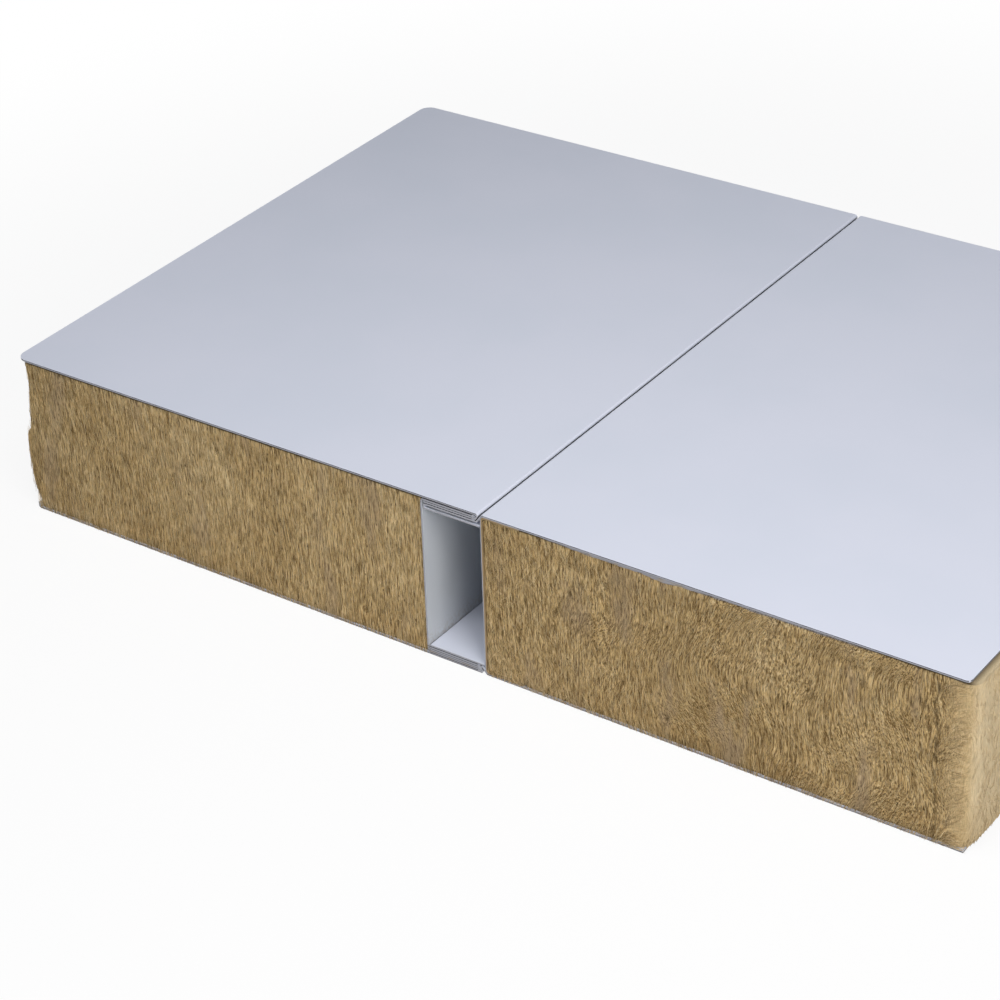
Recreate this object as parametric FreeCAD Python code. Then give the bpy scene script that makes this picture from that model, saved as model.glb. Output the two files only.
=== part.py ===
# Joint sample of a cleanroom wall panel: two short lengths of rock wool sandwich panel, locked edge to edge.
# Each panel is two painted steel sheets glued to a rock wool core, with a steel channel closing its joint edge.
# The left panel's sheets are hemmed over the flanges of its channel and make a groove.
# The right panel's sheets slope in, run into that groove as folded tongues, and leave a hollow between the webs.
# Millimetres, +Z up. The origin is the centre of the underside, X crosses the joint and Y runs along it.
import FreeCAD, Part
import os
from dataclasses import dataclass
from math import atan2, copysign, cos, hypot, sin, tan

# Panels
PANEL_THICKNESS = 50.0
SAMPLE_DEPTH = 194.0
LEFT_WIDTH = 161.0
RIGHT_WIDTH = 139.0
SHEET = 0.5
SEAM_GAP = 0.3
LEFT_CORNER_RADIUS = 3.5
RIGHT_CORNER_RADIUS = 1.2
EDGE_LIP = 2.0

# Lock joint: the step's slope is how far it runs across the joint for each millimetre of depth
GROOVE_DEPTH = 17.75
STEP_SLOPE = 0.75
LOCK_LEAN = 1.4
WEB_CLEARANCE = 0.1
HEM_END_CLEARANCE = 0.4
FLANGE_END_CLEARANCE = 0.1
TONGUE_TIP_CLEARANCE = 0.25
TONGUE_END_CLEARANCE = 0.3
CHANNEL_FLANGE = 12.0
SHEET_BEND_RADIUS = 0.25
LEFT_CHANNEL_BEND_RADIUS = 0.5
RIGHT_CHANNEL_BEND_RADIUS = 1.0

# Rock wool
CORE_FRONT_SETBACK = 0.5
CORE_END_SETBACK = 2.2
CORE_END_CROWN = 2.0


@dataclass(frozen=True)
class PanelFace:
    """One side of the panels, with the gaps between the layers of its lock, from the outside inwards."""

    is_top: bool
    shift: float
    under_skin: float
    under_flange: float
    over_tongue: float
    in_tongue: float

    def x(self, place):
        """Where this face's lock has what the upper lock has at a place across the joint."""
        return place + self.shift

    def sloped(self, corner, depth):
        """Where a sheet that slopes in from a corner of its skin is at this depth."""
        return self.x(corner - STEP_SLOPE * (depth - self.skin))

    def z(self, depth):
        """The height of a point that lies this deep below the face."""
        return PANEL_THICKNESS - depth if self.is_top else depth

    @property
    def skin(self):
        """The depth of the skin's middle."""
        return SHEET / 2

    @property
    def flange(self):
        """The depth of the middle of the channel flange that lies inside the hem."""
        return self.skin + SHEET + self.under_skin

    @property
    def hem(self):
        """The depth of the middle of the hem's return."""
        return self.flange + SHEET + self.under_flange

    @property
    def tongue_outer(self):
        """The depth of the middle of the tongue's outer leg."""
        return self.hem + SHEET + self.over_tongue

    @property
    def tongue_inner(self):
        """The depth of the middle of the tongue's inner leg."""
        return self.tongue_outer + SHEET + self.in_tongue

    @property
    def tongue_radius(self):
        """The bend at the tongue's tip, at the middle of the sheet."""
        return (self.tongue_inner - self.tongue_outer) / 2


# The upper lock is a little open, and the lower one is pressed shut by the sample's weight.
# The lower lock lies further left than the upper one, so the webs lean.
TOP = PanelFace(True, 0.0, under_skin=0.4, under_flange=0.1, over_tongue=0.2, in_tongue=0.7)
BOTTOM = PanelFace(False, -LOCK_LEAN, under_skin=0.1, under_flange=0.05, over_tongue=0.1, in_tongue=0.25)

LEFT_EDGE = -(LEFT_WIDTH + RIGHT_WIDTH) / 2
RIGHT_EDGE = -LEFT_EDGE
SEAM_X = LEFT_EDGE + LEFT_WIDTH
FRONT = -SAMPLE_DEPTH / 2
BACK = SAMPLE_DEPTH / 2

# A sheet that slopes is this much wider than its thickness, measured level across it.
STEP_STRETCH = hypot(1, STEP_SLOPE)
SHEET_BEND = SHEET_BEND_RADIUS + SHEET / 2
RIGHT_BEND_OUTSIDE = RIGHT_CHANNEL_BEND_RADIUS + SHEET

# Corners are where the middle lines of a skin and its slope would meet without their bend.
HEM_FACE = SEAM_X - SEAM_GAP / 2
HEM_CORNER = HEM_FACE - SHEET / 2 + SHEET_BEND * (STEP_STRETCH + STEP_SLOPE - 1)
STEP_CORNER = HEM_CORNER + SEAM_GAP + STEP_STRETCH * SHEET
GROOVE_FLOOR = HEM_FACE - GROOVE_DEPTH
TONGUE_TIP = GROOVE_FLOOR + TONGUE_TIP_CLEARANCE

# The right web stands where the bend of its channel clears the back of the step, carried on up to the face.
STEP_BACK = STEP_CORNER + (STEP_SLOPE + STEP_STRETCH) * SHEET / 2
BEND_REACH = STEP_STRETCH * (RIGHT_BEND_OUTSIDE + WEB_CLEARANCE) - STEP_SLOPE * (SHEET + RIGHT_BEND_OUTSIDE)
RIGHT_WEB_FACE = STEP_BACK + BEND_REACH - RIGHT_BEND_OUTSIDE


def vector(x, z):
    """A point of a cross-section, on the sample's front plane."""
    return FreeCAD.Vector(x, FRONT, z)


def left_of(direction):
    """The unit vector a quarter turn to the left of a direction in the XZ plane."""
    return FreeCAD.Vector(-direction.z, 0, direction.x)


def folded_side(corners, radii, offset):
    """The edges on one side of a folded sheet, whose middle line is rounded at each inner corner."""
    edges = []
    here = corners[0] + left_of((corners[1] - corners[0]).normalize()) * offset
    for before, corner, after, radius in zip(corners, corners[1:], corners[2:], radii):
        way_in = (corner - before).normalize()
        way_out = (after - corner).normalize()
        turn = atan2(way_in.x * way_out.z - way_in.z * way_out.x, way_in.dot(way_out))
        setback = radius * tan(abs(turn) / 2)
        side = copysign(1, turn)
        centre = corner - way_in * setback + left_of(way_in) * (side * radius)
        spokes = [
            left_of(way_in * cos(share * turn) + left_of(way_in) * sin(share * turn)) * -side
            for share in (0, 0.5, 1)
        ]
        bend = [centre + spoke * (radius - side * offset) for spoke in spokes]
        if here.distanceToPoint(bend[0]) > 1e-6:
            edges.append(Part.makeLine(here, bend[0]))
        edges.append(Part.Arc(*bend).toShape())
        here = bend[2]
    end = corners[-1] + left_of((corners[-1] - corners[-2]).normalize()) * offset
    edges.append(Part.makeLine(here, end))
    return edges


def folded_sheet(corners, radii):
    """A sheet folded along a middle line in the XZ plane, as long as the sample is deep."""
    corners = [vector(x, z) for x, z in corners]
    sides = [folded_side(corners, radii, offset) for offset in (SHEET / 2, -SHEET / 2)]
    ends = [
        Part.makeLine(*[left_of((b - a).normalize()) * offset + at for offset in (SHEET / 2, -SHEET / 2)])
        for a, b, at in ((corners[0], corners[1], corners[0]), (corners[-2], corners[-1], corners[-1]))
    ]
    outline = Part.Wire(Part.__sortEdges__(sides[0] + sides[1] + ends))
    return Part.Face(outline).extrude(FreeCAD.Vector(0, SAMPLE_DEPTH, 0))


def block(x0, x1, z0, z1):
    """A box across the whole depth of the sample."""
    return Part.makeBox(x1 - x0, SAMPLE_DEPTH, z1 - z0, vector(x0, z0))


def round_corners(sheet, x, inward, radius, z_low):
    """Rounds a sheet's front and back corners at one edge, in plan, from a height up to the top face."""
    height = PANEL_THICKNESS - z_low
    for y, into in ((FRONT, 1), (BACK, -1)):
        low_corner = FreeCAD.Vector(min(x, x + inward * radius), min(y, y + into * radius), z_low)
        scrap = Part.makeBox(radius, radius, height, low_corner)
        centre = FreeCAD.Vector(x + inward * radius, y + into * radius, z_low)
        sheet = sheet.cut(scrap.cut(Part.makeCylinder(radius, height, centre)))
    return sheet


def left_sheet(face):
    """A face sheet of the left panel: flat, then hemmed back under itself in a sloping nose from seam to web."""
    corners = [
        (face.x(HEM_CORNER), face.z(face.skin)),
        (face.sloped(HEM_CORNER, face.hem), face.z(face.hem)),
        (face.x(GROOVE_FLOOR + HEM_END_CLEARANCE), face.z(face.hem)),
    ]
    if face.is_top:
        return folded_sheet([(LEFT_EDGE, face.z(face.skin))] + corners, [SHEET_BEND] * 2)
    lip = LEFT_EDGE + SHEET / 2
    turned_up = [(lip, face.z(EDGE_LIP)), (lip, face.z(face.skin))]
    return folded_sheet(turned_up + corners, [SHEET_BEND] * 3)


def right_sheet(face):
    """A face sheet of the right panel: flat, sloped in at the seam, then folded into a tongue up to the web."""
    tip = face.x(TONGUE_TIP + SHEET / 2)
    corners = [
        (RIGHT_EDGE, face.z(face.skin)),
        (face.x(STEP_CORNER), face.z(face.skin)),
        (face.sloped(STEP_CORNER, face.tongue_outer), face.z(face.tongue_outer)),
        (tip, face.z(face.tongue_outer)),
        (tip, face.z(face.tongue_inner)),
        (face.x(RIGHT_WEB_FACE - TONGUE_END_CLEARANCE), face.z(face.tongue_inner)),
    ]
    return folded_sheet(corners, [SHEET_BEND, SHEET_BEND, face.tongue_radius, face.tongue_radius])


def left_top_sheet():
    """The left panel's upper sheet, with its outer corners rounded in plan."""
    return round_corners(left_sheet(TOP), LEFT_EDGE, 1, LEFT_CORNER_RADIUS, TOP.z(SHEET))


def right_top_sheet():
    """The right panel's upper sheet, with its outer corners rounded in plan."""
    return round_corners(right_sheet(TOP), RIGHT_EDGE, -1, RIGHT_CORNER_RADIUS, TOP.z(SHEET))


def edge_channel(web_middle, bend_radius, top_end, bottom_end, top_depth, bottom_depth):
    """A channel whose web runs from the upper lock to the lower one, and whose two flanges run towards +X."""
    corners = [
        (TOP.x(top_end), TOP.z(top_depth)),
        (TOP.x(web_middle), TOP.z(top_depth)),
        (BOTTOM.x(web_middle), BOTTOM.z(bottom_depth)),
        (BOTTOM.x(bottom_end), BOTTOM.z(bottom_depth)),
    ]
    return folded_sheet(corners, [bend_radius + SHEET / 2] * 2)


def left_edge_channel():
    """The groove's channel: its flanges reach into the hems of the left sheets."""
    nose_inside = HEM_CORNER - STEP_STRETCH * SHEET / 2 - FLANGE_END_CLEARANCE
    ends = [nose_inside - STEP_SLOPE * (face.flange + SHEET / 2 - face.skin) for face in (TOP, BOTTOM)]
    web_middle = GROOVE_FLOOR - SHEET / 2
    return edge_channel(web_middle, LEFT_CHANNEL_BEND_RADIUS, *ends, TOP.flange, BOTTOM.flange)


def right_edge_channel():
    """The channel behind the tongues: its flanges lie under the right sheets, in the edge of the wool."""
    end = RIGHT_WEB_FACE + CHANNEL_FLANGE
    depth = SHEET + SHEET / 2
    web_middle = RIGHT_WEB_FACE + SHEET / 2
    return edge_channel(web_middle, RIGHT_CHANNEL_BEND_RADIUS, end, end, depth, depth)


def wool_core(inner_x, outer_edge):
    """A block of rock wool between the sheets, flat at the channel and crowned at the cut outer end."""
    inward = copysign(1, inner_x - outer_edge)
    low = SHEET
    high = PANEL_THICKNESS - SHEET
    end = outer_edge + inward * CORE_END_SETBACK
    crown = end - inward * CORE_END_CROWN
    corners = [vector(end, low), vector(BOTTOM.x(inner_x), low), vector(TOP.x(inner_x), high), vector(end, high)]
    edges = [Part.makeLine(a, b) for a, b in zip(corners, corners[1:])]
    edges.append(Part.Arc(corners[3], vector(crown, PANEL_THICKNESS / 2), corners[0]).toShape())
    core = Part.Face(Part.Wire(edges)).extrude(FreeCAD.Vector(0, SAMPLE_DEPTH - 2 * CORE_FRONT_SETBACK, 0))
    core.translate(FreeCAD.Vector(0, CORE_FRONT_SETBACK, 0))
    return core


def left_wool_core():
    """The left panel's rock wool, up to the groove's web."""
    return wool_core(GROOVE_FLOOR - SHEET, LEFT_EDGE).cut(left_edge_channel())


def right_wool_core():
    """The right panel's rock wool, let in for the flanges of its channel and rounded into its bends."""
    core = wool_core(RIGHT_WEB_FACE + SHEET, RIGHT_EDGE)
    for face, low in ((BOTTOM, BOTTOM.z(SHEET)), (TOP, TOP.z(2 * SHEET))):
        flange_start = face.x(RIGHT_WEB_FACE)
        core = core.cut(block(flange_start, flange_start + CHANNEL_FLANGE, low, low + SHEET))
    return core.cut(right_edge_channel())


PIECES = {
    "left_top_sheet": left_top_sheet,
    "left_bottom_sheet": lambda: left_sheet(BOTTOM),
    "left_edge_channel": left_edge_channel,
    "left_wool_core": left_wool_core,
    "right_top_sheet": right_top_sheet,
    "right_bottom_sheet": lambda: right_sheet(BOTTOM),
    "right_edge_channel": right_edge_channel,
    "right_wool_core": right_wool_core,
}


def main():
    """Builds each piece and writes it to its own file."""
    os.makedirs("parts", exist_ok=True)
    for name, build in PIECES.items():
        shape = build()
        print(f"{name}: valid {shape.isValid()}, solids {len(shape.Solids)}, volume {shape.Volume:.1f} mm3")
        shape.exportStep(f"parts/{name}.step")


if __name__ == "__main__":
    main()
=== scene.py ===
"""Looks of a cleanroom panel sample: painted skins, coated channels and combed rock wool.

Lengths are in metres, in the frame's own axes: X across the joint, Y along it, Z through the thickness.
"""
import logging
import math
from dataclasses import dataclass, field
from enum import Enum
from functools import reduce
from typing import Any, Callable, Optional, Sequence, Union

import bpy
import numpy as np
from mathutils import Matrix, Vector


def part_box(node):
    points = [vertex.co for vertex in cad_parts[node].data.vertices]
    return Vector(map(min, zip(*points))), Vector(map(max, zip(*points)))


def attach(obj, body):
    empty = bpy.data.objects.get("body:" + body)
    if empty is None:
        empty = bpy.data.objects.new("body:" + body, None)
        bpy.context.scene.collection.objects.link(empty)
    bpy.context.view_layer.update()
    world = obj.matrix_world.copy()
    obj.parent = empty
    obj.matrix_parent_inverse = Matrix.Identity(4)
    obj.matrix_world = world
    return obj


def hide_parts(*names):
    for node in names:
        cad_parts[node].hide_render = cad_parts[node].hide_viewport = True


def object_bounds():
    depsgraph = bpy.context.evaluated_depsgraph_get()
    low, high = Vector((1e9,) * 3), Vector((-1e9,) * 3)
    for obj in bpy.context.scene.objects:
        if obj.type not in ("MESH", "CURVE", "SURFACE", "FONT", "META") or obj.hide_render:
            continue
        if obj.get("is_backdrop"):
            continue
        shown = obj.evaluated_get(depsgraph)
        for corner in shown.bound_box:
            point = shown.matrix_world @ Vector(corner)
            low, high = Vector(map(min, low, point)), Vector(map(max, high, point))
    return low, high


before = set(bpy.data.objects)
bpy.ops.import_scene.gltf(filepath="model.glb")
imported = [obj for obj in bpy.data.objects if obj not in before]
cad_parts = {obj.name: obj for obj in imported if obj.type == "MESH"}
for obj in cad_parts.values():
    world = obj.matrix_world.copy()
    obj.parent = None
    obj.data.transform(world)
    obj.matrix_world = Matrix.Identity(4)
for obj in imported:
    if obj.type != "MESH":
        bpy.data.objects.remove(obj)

MM = 0.001
JOINT_LEAN = 1.4 * MM
BODY = "root"
LOG = logging.getLogger("cleanroom_panel")

Colour = tuple[float, float, float, float]
Point = tuple[float, float, float]
Span = tuple[float, float]
Number = Union["Term", float]

ACROSS: Point = (1, 0, 0)
ALONG: Point = (0, 1, 0)
UP: Point = (0, 0, 1)


def display(red: int, green: int, blue: int) -> Colour:
    """The linear colour, with an alpha of 1, that shows as an 8-bit display colour."""
    channels = [value / 255 for value in (red, green, blue)]
    bent = [c / 12.92 if c <= 0.04045 else ((c + 0.055) / 1.055) ** 2.4 for c in channels]
    return (bent[0], bent[1], bent[2], 1.0)


def put(name: str, data: bpy.types.ID) -> bpy.types.Object:
    """Adds an object with this data to the scene."""
    thing = bpy.data.objects.new(name, data)
    bpy.context.scene.collection.objects.link(thing)
    return thing


def math_operator(operation: str, reflected: bool = False) -> Callable[["Term", Number], "Term"]:
    """An operator of Term that adds a Math node, with its operands swapped if it is reflected."""

    def apply(term: "Term", other: Number) -> "Term":
        """The node's result."""
        return term.graph.math(operation, *((other, term) if reflected else (term, other)))

    return apply


class Term:
    """One output of a node, whose arithmetic adds Math nodes to the same graph."""

    def __init__(self, graph: "Graph", socket: bpy.types.NodeSocket) -> None:
        """Wraps a socket of the graph."""
        self.graph = graph
        self.socket = socket

    def peer(self, name: str) -> "Term":
        """Another output of the same node."""
        return Term(self.graph, self.socket.node.outputs[name])

    __add__ = math_operator("ADD")
    __radd__ = math_operator("ADD", reflected=True)
    __sub__ = math_operator("SUBTRACT")
    __rsub__ = math_operator("SUBTRACT", reflected=True)
    __mul__ = math_operator("MULTIPLY")
    __rmul__ = math_operator("MULTIPLY", reflected=True)
    __truediv__ = math_operator("DIVIDE")
    __gt__ = math_operator("GREATER_THAN")
    __lt__ = math_operator("LESS_THAN")

    def __abs__(self) -> "Term":
        """The size of self without its sign"""
        return self.graph.math("ABSOLUTE", self)


class Graph:
    """Adds nodes to a shader or geometry tree, whose own class sets place to the point in hand."""

    place: Term

    def __init__(self, tree: bpy.types.NodeTree) -> None:
        """Works on an existing tree."""
        self.tree = tree

    @staticmethod
    def pick(sockets: Any, key: Union[str, int]) -> bpy.types.NodeSocket:
        """The socket that has this name, or this place among a node's sockets in use."""
        in_use = [socket for socket in sockets if socket.enabled]
        if isinstance(key, int):
            return in_use[key]
        return next(socket for socket in in_use if socket.name == key)

    def node(
        self,
        kind: str,
        settings: Optional[dict[str, Any]] = None,
        inputs: Optional[dict[Union[str, int], Any]] = None,
        output: Union[str, int, None] = 0,
    ) -> Optional[Term]:
        """Adds a node.

        Args:
            kind: the node's type.
            settings: its properties, set first.
            inputs: values or terms for its sockets; a list links several terms to one socket.
            output: the output to return, or None where the node has none.

        Returns:
            The chosen output.
        """
        node = self.tree.nodes.new(kind)
        for name, value in (settings or {}).items():
            setattr(node, name, value)
        for key, value in (inputs or {}).items():
            self.fill(self.pick(node.inputs, key), value)
        return None if output is None else Term(self, self.pick(node.outputs, output))

    def fill(self, socket: bpy.types.NodeSocket, value: Any) -> None:
        """Links a term or a list of terms to an input, or sets its value."""
        for item in value if isinstance(value, list) else [value]:
            if isinstance(item, Term):
                self.tree.links.new(item.socket, socket)
            else:
                socket.default_value = item

    def math(self, operation: str, *operands: Number) -> Term:
        """A Math node."""
        return self.node("ShaderNodeMath", {"operation": operation}, dict(enumerate(operands)))

    def vector(self, operation: str, *operands: Any, output: str = "Vector") -> Term:
        """A Vector Math node."""
        return self.node("ShaderNodeVectorMath", {"operation": operation}, dict(enumerate(operands)), output)

    def scaled(self, vector: Any, factor: Number) -> Term:
        """A vector times a number."""
        return self.node("ShaderNodeVectorMath", {"operation": "SCALE"}, {"Vector": vector, "Scale": factor})

    def part(self, vector: Any, axis: Sequence[float]) -> Term:
        """The length of a vector along an axis."""
        return self.vector("DOT_PRODUCT", vector, axis, output="Value")

    def ramp(self, value: Number, low: float, high: float) -> Term:
        """A smooth step from 0 at low to 1 at high, which may be the lower of the two."""
        return self.node(
            "ShaderNodeMapRange",
            {"interpolation_type": "SMOOTHSTEP"},
            {"Value": value, "From Min": low, "From Max": high, "To Min": 0.0, "To Max": 1.0},
        )

    def edged(self, value: Number, size: float, edge: Span) -> Term:
        """A smooth step that starts and ends at these shares of a size."""
        return self.ramp(value, edge[0] * size, edge[1] * size)

    def noise(self, place: Term, size: float, detail: float = 2.0, stretch: Point = (1, 1, 1)) -> Term:
        """Smooth noise from about 0 to 1.

        Args:
            place: the point.
            size: the length of one bump, in metres.
            detail: how many finer layers are added.
            stretch: how much longer the bumps are along each axis.

        Returns:
            The noise value, whose mean is 0.5.
        """
        squeezed = self.vector("DIVIDE", place, tuple(size * share for share in stretch))
        return self.node("ShaderNodeTexNoise", {}, {"Vector": squeezed, "Scale": 1.0, "Detail": detail})

    def swing(self, place: Term, size: float, detail: float = 2.0, stretch: Point = (1, 1, 1)) -> Term:
        """The same noise about a mean of 0."""
        return self.noise(place, size, detail, stretch) - 0.5

    def mix(self, factor: Number, first: Any, second: Any) -> Term:
        """A colour between two colours."""
        return self.node("ShaderNodeMix", {"data_type": "RGBA"}, {"Factor": factor, "A": first, "B": second})

    def layered(self, base: Any, *layers: tuple[Number, Any]) -> Any:
        """A colour with others laid over it in turn, each by its own share."""
        for share, colour in layers:
            base = self.mix(share, base, colour)
        return base


class Shader(Graph):
    """A material's graph round one Principled shader."""

    def __init__(self, name: str) -> None:
        """Starts a material with only its shader and output."""
        self.material = bpy.data.materials.new(name)
        self.material.use_nodes = True
        super().__init__(self.material.node_tree)
        self.surface = self.tree.nodes["Principled BSDF"]
        self.place = self.node("ShaderNodeTexCoord", output="Object")

    def feed(self, **sockets: Any) -> None:
        """Sets or links the shader's sockets, named with underscores for spaces."""
        for name, value in sockets.items():
            self.fill(self.surface.inputs[name.replace("_", " ")], value)

    def bump(self, height: Term, depth: float) -> None:
        """Feeds the shader's normal with a height that is depth metres from 0 to 1."""
        bump = {"Strength": 1.0, "Distance": depth, "Height": height}
        self.feed(Normal=self.node("ShaderNodeBump", {}, bump))


class GeometryTree(Graph):
    """A Geometry Nodes tree with named inputs."""

    def __init__(self, name: str) -> None:
        """Starts a tree that takes and gives a geometry."""
        super().__init__(bpy.data.node_groups.new(name, "GeometryNodeTree"))
        for way in ("INPUT", "OUTPUT"):
            self.tree.interface.new_socket("Geometry", in_out=way, socket_type="NodeSocketGeometry")
        self.entry = self.tree.nodes.new("NodeGroupInput")
        self.source = Term(self, self.entry.outputs["Geometry"])
        self.place = self.node("GeometryNodeInputPosition")
        self.normal = self.node("GeometryNodeInputNormal")

    def parameters(self, kind: str, *names: str) -> list[Term]:
        """Adds named inputs of a kind such as Float, Vector or Material, and gives their values."""
        for name in names:
            self.tree.interface.new_socket(name, in_out="INPUT", socket_type=f"NodeSocket{kind}")
        return [Term(self, self.entry.outputs[name]) for name in names]

    def random(self, low: float, high: float, seed: int) -> Term:
        """A fixed random number for each point."""
        return self.node(
            "FunctionNodeRandomValue", {"data_type": "FLOAT"}, {"Min": low, "Max": high, "Seed": seed}
        )

    def deliver(self, geometry: Term, material: Term) -> None:
        """Makes this geometry the tree's result, with its instances realized and its material set."""
        real = self.node("GeometryNodeRealizeInstances", {}, {"Geometry": geometry})
        dressed = self.node("GeometryNodeSetMaterial", {}, {"Geometry": real, "Material": material})
        self.node("NodeGroupOutput", {}, {"Geometry": dressed}, None)

    def grow(self, mesh: bpy.types.Mesh, values: dict[str, Any]) -> bpy.types.Mesh:
        """Runs the tree on a mesh.

        Args:
            mesh: what the tree starts from.
            values: the named inputs' values.

        Returns:
            The result as a plain mesh.
        """
        carrier = put(self.tree.name, mesh)
        modifier = carrier.modifiers.new(self.tree.name, "NODES")
        modifier.node_group = self.tree
        for item in self.tree.interface.items_tree:
            if item.in_out == "INPUT" and item.name in values:
                modifier[item.identifier] = values[item.name]
        state = bpy.context.evaluated_depsgraph_get()
        grown = bpy.data.meshes.new_from_object(carrier.evaluated_get(state), depsgraph=state)
        carrier.modifiers.remove(modifier)
        bpy.data.objects.remove(carrier)
        return grown


@dataclass(frozen=True)
class SheetFinish:
    """Coil-coated steel sheet, with bare steel at its cut edges, and painted shade in the seam's slit, in
    the locks' gaps and on the cuts.
    """

    name: str
    paint: Colour
    shade: Colour
    roughness: float
    dusty: float = 0.0
    steel: Colour = display(166, 167, 174)
    steel_shade: Colour = display(34, 34, 42)
    gap_shade: Colour = display(46, 46, 52)
    dust: Colour = display(156, 132, 92)
    facing: float = 0.8
    edge_depth: float = 0.2 * MM
    rim_shade_depth: float = 0.16 * MM
    rim_shade_wave: float = 0.2 * MM
    rim_shade_edge: Span = (0.8, 1.2)
    seam_half: float = 0.26 * MM
    seam_edge: Span = (1.3, 0.8)
    seam_slope: float = 0.75
    seam_depth: Span = (0.25 * MM, 0.5 * MM)
    dust_span: Span = (11.75 * MM, 11.85 * MM)
    low_tint_height: float = 9 * MM
    low_tint_grain: Span = (0.4, 0.65)
    low_tint_share: float = 0.4
    lock_span: Span = (-6.8 * MM, 9.0 * MM)
    lock_shade: float = 0.9
    lock_skin: float = 0.45 * MM
    upper_lock: float = 2.75 * MM
    lower_lock: float = 2.4 * MM
    wide_layers: Sequence[float] = (49.3 * MM, 2.38 * MM, 0.55 * MM)
    wide_share: float = 0.95
    tight_layers: Sequence[float] = (48.55 * MM, 47.9 * MM, 1.12 * MM, 1.7 * MM)
    tight_share: float = 0.5
    layer_line: float = 0.12 * MM
    layer_edge: Span = (1.4, 0.6)
    nose_span: Span = (9.6 * MM, 8.8 * MM)
    mottle_size: float = 45 * MM
    mottle_span: Span = (0.35, 0.7)
    mottle_roughness: float = 0.08
    cut_roughness: float = 0.1
    cut_metallic: float = 0.25
    peel_size: float = 0.9 * MM
    peel_depth: float = 0.004 * MM
    streak_size: float = 0.8 * MM
    streak_stretch: Point = (4, 1, 1)

    def material(self, half_width: float, height: float, seam_x: float) -> bpy.types.Material:
        """Builds the finish.

        Args:
            half_width: where the sample's outer edges are, from its middle.
            height: the sample's thickness.
            seam_x: where the sloping slit between the panels would come out on top.

        Returns:
            The material.
        """
        shader = Shader(self.name)
        normal = shader.node("ShaderNodeNewGeometry", output="Normal")
        x = shader.part(shader.place, ACROSS)
        z = shader.part(shader.place, UP)
        joint_x = x + JOINT_LEAN * (1 - z / height)
        depth = shader.math("MINIMUM", abs(z), abs(z - height))
        cut_front = abs(shader.part(normal, ALONG)) > self.facing
        faces_out = abs(shader.part(normal, ACROSS)) > self.facing
        at_edge = abs(x) > half_width - self.edge_depth
        cut = shader.math("MAXIMUM", cut_front, faces_out * at_edge)
        mottle = shader.noise(shader.place, self.mottle_size, 3.0)
        grain = shader.noise(shader.place, self.streak_size, 2.0, self.streak_stretch)

        # Painted shade: the paint is drawn dark in the slit of the seam and in the gaps inside the locks.
        off_seam = abs(joint_x + self.seam_slope * depth - seam_x)
        in_seam = shader.edged(off_seam, self.seam_half, self.seam_edge)
        within = shader.ramp(depth, *self.seam_depth) * shader.ramp(depth, self.upper_lock, self.lower_lock)
        in_lock = self.lock_shade * self.inside_lock(shader, joint_x, z, height)
        shaded_gaps = shader.math("MAXIMUM", in_seam * within, in_lock)
        mottled = shader.ramp(mottle, *self.mottle_span)
        painted = shader.layered(self.paint, (mottled, self.shade), (shaded_gaps, self.gap_shade))

        # Painted shade on the bare cuts: a dark band along each cut's outer rim, and dark lines where the
        # gaps between the locks' layers show.
        sheared = shader.edged(depth + self.rim_shade_wave * (grain - 0.5), self.rim_shade_depth, self.rim_shade_edge)
        wide = self.wide_share * self.layer_line_shade(shader, z, self.wide_layers)
        tight = self.tight_share * self.layer_line_shade(shader, z, self.tight_layers)
        shaded_lines = shader.math("MAXIMUM", wide, tight) * shader.ramp(joint_x, *self.nose_span)
        bare = shader.layered(self.steel_shade, (sheared, self.steel), (shaded_lines, self.steel_shade))

        # A wool-coloured tint on the right channel's side towards the wool, and low down on both channels in
        # grains.
        low_down = shader.ramp(z, self.low_tint_height, 0)
        low_tint = self.low_tint_share * low_down * shader.ramp(grain, *self.low_tint_grain)
        wool_tinted = self.dusty * shader.math("MAXIMUM", shader.ramp(joint_x, *self.dust_span), low_tint)
        shader.feed(
            Base_Color=shader.layered(painted, (cut, bare), (wool_tinted, self.dust)),
            Roughness=self.roughness + self.mottle_roughness * (mottle - 0.5) + self.cut_roughness * cut,
            Metallic=self.cut_metallic * cut,
            Specular_IOR_Level=0.1,
        )
        shader.bump(shader.noise(shader.place, self.peel_size, 1.0), self.peel_depth)
        return shader.material

    def inside_lock(self, shader: Shader, joint_x: Term, z: Term, height: float) -> Term:
        """The narrow gaps between the layers of the locks, which no light reaches and where shade is
        painted.

        Args:
            shader: the graph to add to.
            joint_x: the place across the joint, with the lean taken out.
            z: the height of the point.
            height: the sample's thickness.

        Returns:
            1 between the layers and 0 elsewhere.
        """
        start, stop = self.lock_span
        upper = (z < height - self.lock_skin) * (z > height - self.upper_lock)
        lower = (z > self.lock_skin) * (z < self.lower_lock)
        return (joint_x > start) * (joint_x < stop) * shader.math("MAXIMUM", upper, lower)

    def layer_line_shade(self, shader: Shader, z: Term, levels: Sequence[float]) -> Term:
        """The painted shade in the gaps between the layers of the locks, where they show on the cut edges: 1
        at these levels, and 0 elsewhere.
        """
        shaded_lines = [shader.edged(abs(z - level), self.layer_line, self.layer_edge) for level in levels]
        return reduce(lambda dark, edge: shader.math("MAXIMUM", dark, edge), shaded_lines)


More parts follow.
